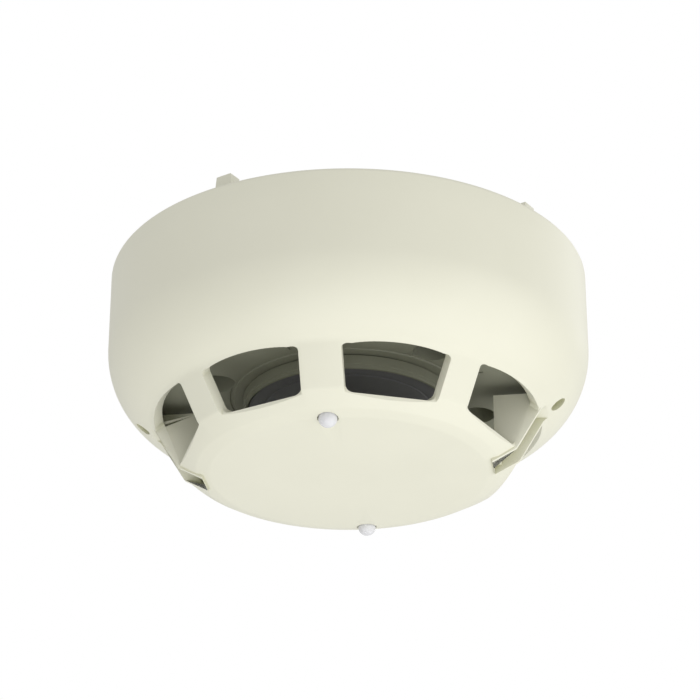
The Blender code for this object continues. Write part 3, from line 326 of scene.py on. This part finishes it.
def makeCover():
    c = cover
    piece = spinShape("outerShell", coverProfile(), c["steps"])
    for index in range(8):
        combine(piece, windowTools(index), "DIFFERENCE")
    end = c["channelEnd"]
    block = roundedProfile([
        (end + 0.6, 29.4, 0),
        (43.6, 29.4, 0),
        (41.0, 31.1, 1.0),
        (34.8, 41.3, 1.4),
        (end, 43.96, 0),
        (end - 0.3, 42.4, 0),
        (end + 0.6, 42.4, 0),
    ])
    hollow = [(end + 1.4, 32.0), (50.0, 32.0), (50.0, 48.0), (end, 48.0), (end, 42.0), (end + 1.4, 42.0)]
    width = 2 * c["channelHalf"]
    for side in (0, 180):
        azimuth = c["channelAzimuth"] + side
        combine(piece, [channelTool("channelBlock", block, width + 2 * c["vane"], azimuth)], "UNION")
        combine(piece, [channelTool("channelHollow", hollow, width, azimuth)], "DIFFERENCE")
    # pipe holes and the blind recesses in the shoulder
    for side in (0, 180):
        clearSelection()
        x, y = place(-8.1 + side, 28.2)
        bpy.ops.mesh.primitive_cylinder_add(vertices=48, radius=2.1 * mm, depth=12 * mm, location=at(x, y, 43))
        combine(piece, [bpy.context.object], "DIFFERENCE")
        clearSelection()
        x, y = place(81.9 + side, 43.4)
        depth = c["skirt"] + math.sqrt(c["arc"] ** 2 - (43.4 - 33.5) ** 2)
        outward = Vector((x / 43.4 * 9.9, y / 43.4 * 9.9, -(depth - c["skirt"]))).normalized()
        spot = at(x, y, depth) + outward * 1.4 * mm
        bpy.ops.mesh.primitive_cylinder_add(vertices=40, radius=1.75 * mm, depth=6 * mm, location=spot)
        tool = bpy.context.object
        tool.rotation_euler = outward.to_track_quat("Z", "Y").to_euler()
        combine(piece, [tool], "DIFFERENCE")
    clearSelection()
    piece.select_set(True)
    bpy.context.view_layer.objects.active = piece
    bpy.ops.object.mode_set(mode="EDIT")
    bpy.ops.mesh.select_all(action="SELECT")
    bpy.ops.mesh.remove_doubles(threshold=0.06 * mm)
    bpy.ops.object.mode_set(mode="OBJECT")
    applyBevel(piece, c["edge"], segments=3, angle=38)
    smoothShape(piece, 30)
    return piece


outerShell = makeCover()
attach(outerShell, "head")
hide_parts("outer_cover")
print("cover:", len(outerShell.data.polygons), "faces")


hub = {"radius": 21.8, "top": 26.9, "end": 29.7, "rim": 0.55, "drop": 0.45}
roof = {"back": 24.8, "face": 26.6, "well": 3.8, "wellCircle": 28.0, "wells": (36.5, 106.0, 216.5, 286.0)}


def makeHub():
    # round carrier under the roof: a thin rim, a dark line inside it and a shallow dished face
    h = hub
    r, top, end = h["radius"], h["top"], h["end"]
    shell = spinShape("sensorHub", roundedProfile([
        (2.6, top, 0),
        (r, top, 0),
        (r, end - 0.9, 0.1),
        (r - 0.2, end - 0.8, 0.1),
        (r - 0.2, end, 0.12),
        (r - h["rim"] - 0.2, end, 0.1),
        (r - h["rim"] - 0.2, end - 1.4, 0),
        (2.6, end - 1.4, 0),
        (2.6, top, 0),
    ]), 160)
    smoothShape(shell, 30)
    inside = r - h["rim"] - 0.65
    low = end - h["drop"]
    disc = spinShape("hubFace", roundedProfile([
        (2.6, end - 1.1, 0),
        (inside, end - 1.1, 0),
        (inside, low, 0.15),
        (inside - 2.6, low, 0),
        (inside - 2.8, low - 0.15, 0),
        (inside - 3.2, low - 0.15, 0),
        (inside - 3.4, low, 0),
        (6.2, low + 0.1, 0.5),
        (5.0, low - 0.2, 0.3),
        (2.6, low - 0.2, 0),
        (2.6, end - 1.1, 0),
    ]), 160)
    smoothShape(disc, 30)
    return shell, disc


def makeRoof():
    # plate over the cavity with a collared well for each screw and short ticks in its face
    r = roof
    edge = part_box("cavity_plate")[1].x / mm
    plate = spinShape("cavityRoof", roundedProfile([
        (2.6, r["back"], 0),
        (edge, r["back"], 0),
        (edge, r["face"], 0.2),
        (24.6, r["face"], 0),
        (24.4, r["face"] - 0.25, 0),
        (23.9, r["face"] - 0.25, 0),
        (23.7, r["face"], 0),
        (2.6, r["face"], 0),
        (2.6, r["back"], 0),
    ]), 160)
    tubes = []
    bores = []
    for azimuth in r["wells"]:
        x, y = place(azimuth, r["wellCircle"])
        tubes.append(spinShape("wellTube", [(0.0, 18.95), (4.6, 18.95), (4.6, 26.0), (0.0, 26.0)], 40, (x, y)))
        bores.append(spinShape("wellBore", roundedProfile([
            (0.0, 17.0, 0),
            (1.5, 17.0, 0),
            (1.5, 20.2, 0),
            (r["well"] - 0.3, 20.2, 0),
            (r["well"], 26.0, 0.4),
            (r["well"] + 0.3, 27.5, 0),
            (0.0, 27.5, 0),
        ]), 40, (x, y)))
    combine(plate, tubes, "UNION")
    combine(plate, bores, "DIFFERENCE")
    cuts = []
    for side in (0, 180):
        x, y = place(-8.1 + side, 28.2)
        cuts.append(spinShape("pipeBore", [(0.0, 20.0), (2.2, 20.0), (2.2, 28.0), (0.0, 28.0)], 40, (x, y)))
    for azimuth in (-26.0, 64.0, 154.0, 244.0):
        tick = channelTool("tick", [(26.2, 26.2), (30.4, 26.2), (30.4, 28.0), (26.2, 28.0)], 0.45, azimuth)
        cuts.append(tick)
    combine(plate, cuts, "DIFFERENCE")
    applyBevel(plate, 0.12, segments=2, angle=50)
    smoothShape(plate, 30)
    return plate


sensorHub, hubFace = makeHub()
cavityRoof = makeRoof()
for piece, node, slot in (
    (sensorHub, "sensor_carrier", "cavity"),
    (hubFace, "carrier_face", "carrier"),
    (cavityRoof, "cavity_plate", "cavity"),
):
    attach(piece, "head")
    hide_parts(node)
print("cavity: roof, hub and face")

pipe = {"radius": 1.88, "circle": 28.2, "proud": 1.8, "surface": 43.72, "azimuth": -8.1}


def makePipe(number):
    # clear rod with a collar and a tall dome
    p = pipe
    azimuth = p["azimuth"] + (number - 1) * 180
    low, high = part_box("light_pipe_%d" % number)
    start = (rimZ - high.z) / mm
    collar = 24.5
    outline = [
        (0.0, start, 0),
        (p["radius"], start, 0.15),
        (p["radius"], collar - 1.0, 0),
        (p["radius"] + 1.0, collar - 1.0, 0.15),
        (p["radius"] + 1.0, collar, 0.15),
        (p["radius"], collar, 0.2),
    ]
    points = roundedProfile(outline + [(p["radius"], 40.0, 0)])
    for step in range(13):
        angle = math.radians(90 * step / 12)
        points.append((p["radius"] * math.cos(angle), p["surface"] + p["proud"] * math.sin(angle)))
    points[-1] = (0.0, points[-1][1])
    piece = spinShape("lightPipe%d" % number, points, 48, place(azimuth, p["circle"]))
    smoothShape(piece, 40)
    return piece


for number in (1, 2):
    piece = makePipe(number)
    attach(piece, "head")
    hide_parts("light_pipe_%d" % number)
print("light pipes: 2")

base = {
    "plate": (0.6, 3.1),  # top and underside of the plate
    "radius": 45.0,
    "ringEnd": 9.2,
    "ringInside": 43.0,
    "hole": 11.0,
    "footAzimuth": 56.0,
    "ledge": (35.0, 16.0),
    "screwCircle": 30.0,
}


def makeBase():
    # dished plate: feet, stiffening ribs, terminal bosses, fixing slots and the ledges of the bayonet
    b = base
    top, under = b["plate"]
    plate = spinShape("basePlate", roundedProfile([
        (b["hole"], under, 0),
        (b["hole"], top - 1.2, 0.3),
        (b["hole"] + 1.2, top - 1.2, 0.3),
        (b["hole"] + 1.2, top, 0.3),
        (41.6, top, 0.3),
        (41.9, top - 0.6, 0.2),
        (43.1, top - 0.6, 0.2),
        (43.4, top, 0.3),
        (b["radius"], top, 0.6),
        (b["radius"], b["ringEnd"], 0.3),
        (b["ringInside"], b["ringEnd"], 0.2),
        (b["ringInside"], under, 0.4),
        (b["hole"], under, 0),
    ]), 144)
    adds = []
    for index in range(4):
        azimuth = b["footAzimuth"] + 90 * index
        foot = pushShape("foot", [
            at(-2.5, -44.6, top + 1.2),
            at(2.5, -44.6, top + 1.2),
            at(1.7, -44.6, -5.6),
            at(-1.7, -44.6, -5.6),
        ], (0, 3 * mm, 0))
        turnTo(foot, azimuth)
        adds.append(foot)
        adds.append(channelTool("footRib", [(41.7, 1.0), (33.0, 1.0), (33.0, 0.1), (41.7, -3.4)], 1.1, azimuth))
        half = b["ledge"][1] / 2
        start, sweep = math.radians(azimuth - half), math.radians(2 * half)
        inner, outer = b["ledge"][0], b["ringInside"] + 0.3
        ring = [start + sweep * step / 8 for step in range(9)]
        outline = [at(outer * math.sin(a), -outer * math.cos(a), b["ringEnd"] - 0.15) for a in ring]
        outline += [at(inner * math.sin(a), -inner * math.cos(a), b["ringEnd"] - 0.15) for a in reversed(ring)]
        adds.append(pushShape("ledge", outline, (0, 0, 1.65 * mm)))
    for angle in range(0, 360, 45):
        if angle in (90, 270):
            continue
        adds.append(channelTool("stiffener", [(12.0, 1.0), (12.0, -0.2), (33.0, -0.2), (33.0, 1.0)], 0.9, angle))
    combine(plate, adds, "UNION")
    screws = []
    for index in range(4):
        low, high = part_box("terminal_screw_%d" % (index + 1))
        middle = (low + high) / 2 / mm
        screws.append((middle.x, middle.y))
    bosses = [
        spinShape("boss", [(0.0, 2.8), (3.0, 2.8), (3.0, -3.1), (2.7, -3.4), (0.0, -3.4)], 32, spot) for spot in screws
    ]
    combine(plate, bosses, "UNION")
    holes = [spinShape("bossHole", [(0.0, -2.9), (1.7, -2.9), (1.7, 4.0), (0.0, 4.0)], 32, spot) for spot in screws]
    combine(plate, holes, "DIFFERENCE")
    for side in (90, 270):
        outline = []
        for end, start in ((1, -90), (-1, 90)):
            for step in range(9):
                angle = math.radians(start + 180 * step / 8)
                radius = b["screwCircle"] + end * 2.6 + 2.4 * math.cos(angle)
                along = 2.4 * math.sin(angle)
                outline.append(at(along, -radius, 5.0))
        slot = pushShape("slot", outline, (0, 0, 8 * mm))
        turnTo(slot, side)
        combine(plate, [slot], "DIFFERENCE")
    applyBevel(plate, 0.2, segments=2, angle=50)
    smoothShape(plate, 30)
    return plate


basePlate = makeBase()
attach(basePlate, "base")
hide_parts("base_plate")
print("base plate:", len(basePlate.data.polygons), "faces")


def newMaterial(name):
    made = bpy.data.materials.new(name)
    made.use_nodes = True
    tree = made.node_tree
    return made, tree, tree.nodes["Principled BSDF"]


def addNode(tree, kind, **values):
    node = tree.nodes.new(kind)
    for key, value in values.items():
        if hasattr(node, key):
            setattr(node, key, value)
        else:
            node.inputs[key].default_value = value
    return node


def mouldedPlastic(name, tone, shade, rough=0.42, grain=0.012, fine=5200.0, coarse=42.0, creviceShade=None):
    # two tones mixed by a slow cloud, satin grain in the bump, roughness that follows the cloud;
    # where walls stand close together an ambient occlusion node darkens the colour towards a painted shade tone
    made, tree, shader = newMaterial(name)
    link = tree.links.new
    place3d = addNode(tree, "ShaderNodeTexCoord")
    cloud = addNode(tree, "ShaderNodeTexNoise", Scale=coarse, Detail=4.0, Roughness=0.55)
    spark = addNode(tree, "ShaderNodeTexNoise", Scale=fine, Detail=3.0, Roughness=0.6)
    orange = addNode(tree, "ShaderNodeTexNoise", Scale=fine / 9, Detail=2.0, Roughness=0.5)
    for node in (cloud, spark, orange):
        link(place3d.outputs["Object"], node.inputs["Vector"])
    ramp = addNode(tree, "ShaderNodeValToRGB")
    ramp.color_ramp.elements[0].position = 0.3
    ramp.color_ramp.elements[0].color = (*shade, 1)
    ramp.color_ramp.elements[1].position = 0.7
    ramp.color_ramp.elements[1].color = (*tone, 1)
    link(cloud.outputs["Fac"], ramp.inputs["Fac"])
    if creviceShade is None:
        link(ramp.outputs["Color"], shader.inputs["Base Color"])
    else:
        # painted shade: ambient occlusion pulls the base colour towards the crevice shade tone in corners and recesses
        shelter = addNode(tree, "ShaderNodeAmbientOcclusion", samples=8, only_local=True, Distance=7 * mm)
        depth = addNode(tree, "ShaderNodeMapRange")
        depth.inputs["From Min"].default_value = 0.25
        depth.inputs["From Max"].default_value = 0.85
        link(shelter.outputs["AO"], depth.inputs["Value"])
        shadeMix = addNode(tree, "ShaderNodeMix", data_type="RGBA")
        shadeMix.inputs[6].default_value = (*creviceShade, 1)
        link(depth.outputs["Result"], shadeMix.inputs[0])
        link(ramp.outputs["Color"], shadeMix.inputs[7])
        link(shadeMix.outputs[2], shader.inputs["Base Color"])
    gloss = addNode(tree, "ShaderNodeMapRange")
    gloss.inputs["From Min"].default_value = 0.3
    gloss.inputs["From Max"].default_value = 0.7
    gloss.inputs["To Min"].default_value = rough - 0.04
    gloss.inputs["To Max"].default_value = rough + 0.05
    link(cloud.outputs["Fac"], gloss.inputs["Value"])
    link(gloss.outputs["Result"], shader.inputs["Roughness"])
    first = addNode(tree, "ShaderNodeBump", Strength=0.35, Distance=grain * mm)
    second = addNode(tree, "ShaderNodeBump", Strength=0.3, Distance=grain * 2.5 * mm)
    link(spark.outputs["Fac"], first.inputs["Height"])
    link(orange.outputs["Fac"], second.inputs["Height"])
    link(first.outputs["Normal"], second.inputs["Normal"])
    link(second.outputs["Normal"], shader.inputs["Normal"])
    return made


# ivory: the crevice colour is painted shade, laid into corners and recesses
ivory = mouldedPlastic("ivoryPlastic", (0.80, 0.79, 0.655), (0.78, 0.77, 0.635), creviceShade=(0.42, 0.42, 0.25))
# painted shade: the chassis takes a darkened copy of the ivory colour for the shade inside the head
chassisShadedPlastic = mouldedPlastic("chassisShadedPlastic", (0.62, 0.61, 0.50), (0.58, 0.57, 0.46), rough=0.5)
# painted shade: the cavity roof and carrier take a darkened copy of the ivory colour, standing in for the shadow
# inside the head
cavityShadedPlastic = mouldedPlastic("cavityShadedPlastic", (0.34, 0.345, 0.265), (0.30, 0.305, 0.235), rough=0.6)
facePlastic = mouldedPlastic("facePlastic", (0.205, 0.205, 0.225), (0.18, 0.18, 0.2), rough=0.5)
blackPlastic = mouldedPlastic("blackPlastic", (0.035, 0.035, 0.036), (0.025, 0.025, 0.026), rough=0.5)
boardGreen = mouldedPlastic("boardGreen", (0.02, 0.16, 0.07), (0.015, 0.13, 0.055), rough=0.35, grain=0.004)
ledWhite = mouldedPlastic("ledWhite", (0.82, 0.82, 0.80), (0.78, 0.78, 0.76), rough=0.25)


def metal(name, tone, rough, streak=900.0, coat=0.0):
    made, tree, shader = newMaterial(name)
    link = tree.links.new
    shader.inputs["Metallic"].default_value = 1.0
    place3d = addNode(tree, "ShaderNodeTexCoord")
    stretch = addNode(tree, "ShaderNodeMapping")
    stretch.inputs["Scale"].default_value = (1.0, 0.12, 1.0)
    lines = addNode(tree, "ShaderNodeTexNoise", Scale=streak, Detail=4.0, Roughness=0.6)
    link(place3d.outputs["Object"], stretch.inputs["Vector"])
    link(stretch.outputs["Vector"], lines.inputs["Vector"])
    ramp = addNode(tree, "ShaderNodeValToRGB")
    ramp.color_ramp.elements[0].color = (*[value * 0.82 for value in tone], 1)
    ramp.color_ramp.elements[1].color = (*tone, 1)
    link(lines.outputs["Fac"], ramp.inputs["Fac"])
    link(ramp.outputs["Color"], shader.inputs["Base Color"])
    gloss = addNode(tree, "ShaderNodeMapRange")
    gloss.inputs["To Min"].default_value = rough - 0.08
    gloss.inputs["To Max"].default_value = rough + 0.1
    link(lines.outputs["Fac"], gloss.inputs["Value"])
    link(gloss.outputs["Result"], shader.inputs["Roughness"])
    bump = addNode(tree, "ShaderNodeBump", Strength=0.2, Distance=0.01 * mm)
    link(lines.outputs["Fac"], bump.inputs["Height"])
    link(bump.outputs["Normal"], shader.inputs["Normal"])
    return made


zincSteel = metal("zincSteel", (0.62, 0.63, 0.64), 0.32)
brassStrip = metal("brassStrip", (0.80, 0.62, 0.30), 0.3)
tinnedCopper = metal("tinnedCopper", (0.72, 0.70, 0.66), 0.28)
drawnCan = metal("drawnCan", (0.75, 0.76, 0.78), 0.25)


def clearPlastic(name):
    made, tree, shader = newMaterial(name)
    link = tree.links.new
    shader.inputs["Base Color"].default_value = (0.95, 0.95, 0.97, 1)
    shader.inputs["Transmission Weight"].default_value = 0.25
    shader.inputs["IOR"].default_value = 1.49
    place3d = addNode(tree, "ShaderNodeTexCoord")
    haze = addNode(tree, "ShaderNodeTexNoise", Scale=1500.0, Detail=3.0)
    link(place3d.outputs["Object"], haze.inputs["Vector"])
    gloss = addNode(tree, "ShaderNodeMapRange")
    gloss.inputs["To Min"].default_value = 0.06
    gloss.inputs["To Max"].default_value = 0.2
    link(haze.outputs["Fac"], gloss.inputs["Value"])
    link(gloss.outputs["Result"], shader.inputs["Roughness"])
    flutes = addNode(tree, "ShaderNodeTexVoronoi", Scale=1400.0)
    bump = addNode(tree, "ShaderNodeBump", Strength=0.5, Distance=0.12 * mm)
    link(place3d.outputs["Object"], flutes.inputs["Vector"])
    link(flutes.outputs["Distance"], bump.inputs["Height"])
    link(bump.outputs["Normal"], shader.inputs["Normal"])
    return made


clearPipe = clearPlastic("clearPipe")

slots = {
    "ivory": ivory,
    "chassis": chassisShadedPlastic,
    "cavity": cavityShadedPlastic,
    "carrier": facePlastic,
    "sleeve": blackPlastic,
    "bead": blackPlastic,
    "clear": clearPipe,
    "led": ledWhite,
    "board": boardGreen,
    "chip": blackPlastic,
    "can": drawnCan,
    "brass": brassStrip,
    "tin": tinnedCopper,
    "steel": zincSteel,
}
for part in frame["record"]["subparts"]:
    solid = nodes[part["node"]]
    solid.data.materials.clear()
    solid.data.materials.append(slots[part["material_slot"]])
finishes = (
    (outerShell, ivory),
    (basePlate, ivory),
    (sensorHub, cavityShadedPlastic),
    (hubFace, facePlastic),
    (cavityRoof, cavityShadedPlastic),
    (bpy.data.objects["lightPipe1"], clearPipe),
    (bpy.data.objects["lightPipe2"], clearPipe),
)
for piece, finish in finishes:
    piece.data.materials.clear()
    piece.data.materials.append(finish)


clearSelection()
bpy.ops.mesh.primitive_plane_add(size=8.0, location=(0, 0, -0.6))
floor = bpy.context.object
floor.name = "studioFloor"
floorPaint, tree, shader = newMaterial("floorPaint")
shader.inputs["Base Color"].default_value = (0.86, 0.86, 0.86, 1)
shader.inputs["Roughness"].default_value = 0.8
floor.data.materials.append(floorPaint)

studio = {"sky": 0.70, "backdrop": 1.0, "under": 2.6, "right": 1.1, "rim": 0.5}
world = bpy.data.worlds.new("studioWorld")
bpy.context.scene.world = world
world.use_nodes = True
tree = world.node_tree
sky = tree.nodes["Background"]
sky.inputs["Color"].default_value = (1.0, 1.0, 1.0, 1)
sky.inputs["Strength"].default_value = studio["sky"]
backdrop = addNode(tree, "ShaderNodeBackground", Strength=studio["backdrop"])
backdrop.inputs["Color"].default_value = (1, 1, 1, 1)
rays = addNode(tree, "ShaderNodeLightPath")
blend = addNode(tree, "ShaderNodeMixShader")
tree.links.new(rays.outputs["Is Camera Ray"], blend.inputs["Fac"])
tree.links.new(sky.outputs["Background"], blend.inputs[1])
tree.links.new(backdrop.outputs["Background"], blend.inputs[2])
tree.links.new(blend.outputs["Shader"], tree.nodes["World Output"].inputs["Surface"])


def areaLight(name, spot, size, power):
    light = bpy.data.lights.new(name, "AREA")
    light.shape = "DISK"
    light.size = size
    light.energy = power
    lamp = bpy.data.objects.new(name, light)
    bpy.context.scene.collection.objects.link(lamp)
    lamp.location = spot
    lamp.rotation_euler = (Vector((0, 0, -0.03)) - Vector(spot)).to_track_quat("-Z", "Y").to_euler()
    return lamp


areaLight("underLight", (0.10, -0.12, -0.52), 1.1, studio["under"])
areaLight("rightLight", (0.75, -0.35, -0.15), 0.7, studio["right"])
areaLight("rimLight", (0.6, 0.5, 0.4), 0.5, studio["rim"])

camera = bpy.data.cameras.new("studioCamera")
camera.lens = 129.5
camera.sensor_width = 36.0
camera.clip_start = 0.01
camera.clip_end = 20.0
cameraObject = bpy.data.objects.new("studioCamera", camera)
bpy.context.scene.collection.objects.link(cameraObject)
tilt = math.radians(26.19)
target = Vector((0.00033, 0.0, rimZ - 0.0151))
back = Vector((0.0, -math.cos(tilt), -math.sin(tilt)))
cameraObject.location = target + back * 0.52722
cameraObject.rotation_euler = (-back).to_track_quat("-Z", "Y").to_euler()
bpy.context.scene.camera = cameraObject
bpy.context.scene.view_settings.view_transform = "Standard"
